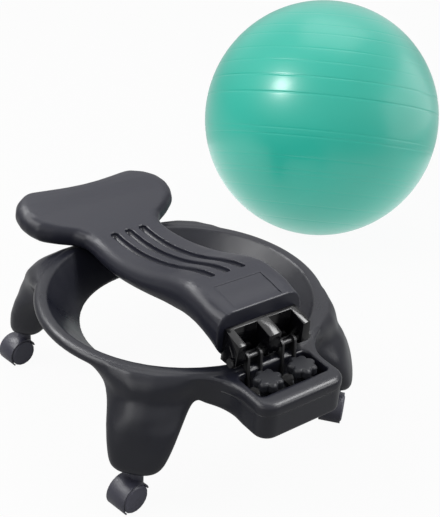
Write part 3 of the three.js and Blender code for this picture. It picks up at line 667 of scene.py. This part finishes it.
ball_skin.visible_glossy = False

# %% [markdown]
# ## Small metal parts
# The CAD's own plates, pins, studs, screws and inserts are right as they are. They keep their
# shapes and get their finishes.

# %% Finish the CAD nodes that stay
def keep(node, material):
    nodes[node].data.materials.clear()
    nodes[node].data.materials.append(material)
    print(node, "gets", material.name)


for side in ("left", "right"):
    keep(f"hinge_pin_cap_{side}", black_steel)
    keep(f"threaded_insert_{side}", turned_brass)
    keep(f"knob_stud_{side}", zinc)
    keep(f"knob_washer_{side}", zinc)
keep("hinge_pin", black_steel)
keep("ball_plug", plug_vinyl)
for number in (1, 2, 3, 4):
    keep(f"foot_screw_{number}", zinc)
for place in caster_places:
    keep(f"caster_{place}_socket", caster_nylon)
    keep(f"caster_{place}_stem", zinc)
    keep(f"caster_{place}_axle", zinc)

# %% [markdown]
# ## Studio
# The photograph has a plain white ground and soft light from above and from the left. The
# ground is a large sheet of matt paper.

# %% Floor
floor_data = bpy.data.meshes.new("studio_floor")
floor_data.from_pydata([(-9, -9, 0), (9, -9, 0), (9, 9, 0), (-9, 9, 0)], [], [(0, 1, 2, 3)])
floor = bpy.data.objects.new("studio_floor", floor_data)
bpy.context.scene.collection.objects.link(floor)
floor_paint, floor_shader = new_material("white studio paper", "#b8b8b8", 0.9)
floor_data.materials.append(floor_paint)
print("floor faces:", len(floor_data.polygons))

# %% [markdown]
# Lit softly, the paper would look grey. So the camera sees it almost as plain white, while the
# light on the object stays at its own, lower level. The small share of real shading that is
# kept holds the object's shadow. A gloss sees only a little of the white, or the undersides of
# the chair would look pale. One function mixes the white in, for the paper and for the room.

# %% White for the camera and the gloss
def seen_as_white(owner, lit, white, output, share, gloss_share):
    """Mixes white into lit: share of it for the camera, gloss_share for a gloss or a glass.
    gloss_share may be the output of another node."""
    ray = add(owner, "ShaderNodeLightPath").outputs
    sent = add(owner, "ShaderNodeMath", {
        0: ray["Is Glossy Ray"], 1: ray["Is Transmission Ray"]}, operation="MAXIMUM")
    direct = add(owner, "ShaderNodeMath", {
        0: ray["Is Camera Ray"], 1: share}, operation="MULTIPLY")
    mirrored = add(owner, "ShaderNodeMath", {
        0: sent.outputs["Value"], 1: gloss_share}, operation="MULTIPLY")
    part = add(owner, "ShaderNodeMath", {
        0: direct.outputs["Value"], 1: mirrored.outputs["Value"]}, operation="MAXIMUM")
    blend = add(owner, "ShaderNodeMixShader", {0: part.outputs["Value"], 1: lit, 2: white})
    link(owner, blend.outputs["Shader"], output)


paper = floor_paint.node_tree.nodes
paper_white = add(floor_paint, "ShaderNodeEmission", {"Color": (1, 1, 1, 1), "Strength": 1.0})
seen_as_white(
    floor_paint, floor_shader.outputs["BSDF"], paper_white.outputs["Emission"],
    paper["Material Output"].inputs["Surface"], 0.95, 0.1)
print("nodes of the paper:", len(paper))

# %% [markdown]
# Dark satin plastic shows little colour of its own and mostly mirrors the room. The room has
# darker walls and a light ceiling: a gloss that looks up sees plain white, and one that looks
# sideways sees the walls. That turns the chair's upper faces grey and keeps its sides dark.

# %% Room
world = bpy.data.worlds.new("studio")
bpy.context.scene.world = world
world.use_nodes = True
sky = world.node_tree.nodes
way = add(world, "ShaderNodeTexCoord").outputs["Generated"]
rise = add(world, "ShaderNodeSeparateXYZ", {"Vector": way}).outputs["Z"]
room = add(world, "ShaderNodeMapRange", {
    "Value": rise, "From Max": 0.7, "To Min": 0.36, "To Max": 0.72})
ceiling = add(world, "ShaderNodeMapRange", {"Value": rise, "From Min": 0.05, "From Max": 0.45})
sky["Background"].inputs["Color"].default_value = (1, 1, 1, 1)
link(world, room.outputs["Result"], sky["Background"].inputs["Strength"])
sky_white = add(world, "ShaderNodeBackground", {"Color": (1, 1, 1, 1), "Strength": 1.0})
seen_as_white(
    world, sky["Background"].outputs["Background"], sky_white.outputs["Background"],
    sky["World Output"].inputs["Surface"], 1.0, ceiling.outputs["Result"])
print("nodes of the room:", len(sky))

# %% [markdown]
# Every lamp is a soft box, placed by its offset from what it lights and turned to face it. One
# hangs high over everything, and the others stand round the chair and round the ball.

# %% Lamps
def soft_box(name, offset, size, power, stretch=(0, 0, 1), target=ring_middle):
    """A lamp at this offset from its target, turned to it. Its second size runs along stretch."""
    data = bpy.data.lights.new(name, "AREA")
    data.shape = "RECTANGLE"
    data.size, data.size_y = size
    data.energy = power
    lamp = bpy.data.objects.new(name, data)
    bpy.context.scene.collection.objects.link(lamp)
    back = Vector(offset).normalized()
    across = Vector(stretch).cross(back).normalized()
    turned = Matrix((across, back.cross(across), back)).transposed().to_4x4()
    lamp.matrix_world = Matrix.Translation(target + Vector(offset)) @ turned
    return lamp


soft_box("top_light", (-1.2, -0.9, 3.0), (2.2, 2.2), 24)
key_light = soft_box("key_light", (1.67, -0.75, 1.95), (1.5, 1.5), 44)
fill_light = soft_box("fill_light", (-1.7, 2.0, 1.1), (1.1, 1.1), 22)
chair_lamps = [
    soft_box("side_light", (2.1, 0.5, 0.75), (1.2, 1.2), 10),
    soft_box("rear_strip", (-1.38, 0.78, 2.03), (0.6, 1.7), 64, (0, 1, 0)),
    soft_box("front_strip", (0.42, -1.8, 1.84), (0.4, 1.5), 38, (1, 0, 0))]
ball_lamps = [
    soft_box("ball_key", (2.35, -0.2, 1.95), (0.65, 0.65), 52, target=ball_middle),
    soft_box("ball_screen", (-1.5, 1.1, 0.3), (2.4, 1.8), 20, target=ball_middle)]
ball_board = soft_box(
    "ball_reflector", (0, 0, -0.25), (1.8, 1.8), 6.5, (0, 1, 0),
    target=ball_middle + Vector((0.3, 0.4, 0)))
ball_board.visible_camera = False
ball_lamps.append(ball_board)
print("lamps on the chair and on the ball alone:", len(chair_lamps), len(ball_lamps))

# %% [markdown]
# Two of the lamps are long strips. A rounded edge mirrors such a strip over more of its width
# than a square lamp, so they draw the bright lines along the edges of the tray, the hinge
# block and the backrest. In the photograph the ball was lit on its own, with a small lamp, a
# wide pale screen on the other side and a white board in front of it on the floor. The fill
# would turn the hinge block's flats grey. Each lamp is therefore linked to what it lights.

# %% Link the lamps to what they light
def lights_only(lamps, things):
    """Lets these lamps light these things and nothing else."""
    lit = bpy.data.collections.new("lit_by_" + lamps[0].name)
    for thing in things:
        lit.objects.link(thing)
    for lamp in lamps:
        lamp.light_linking.receiver_collection = lit


chair = [
    thing for thing in bpy.context.scene.objects
    if thing.type == "MESH" and thing.name not in ("ball_skin", "ball", "studio_floor")]
lights_only([key_light], chair + [floor])
lights_only([fill_light], [thing for thing in chair if thing is not block])
lights_only(chair_lamps, chair)
lights_only(ball_lamps, [ball_skin])

# %% [markdown]
# The Standard view shows the colours as they are computed, so white stays white.

# %% Show the colours as computed
bpy.context.scene.view_settings.view_transform = "Standard"
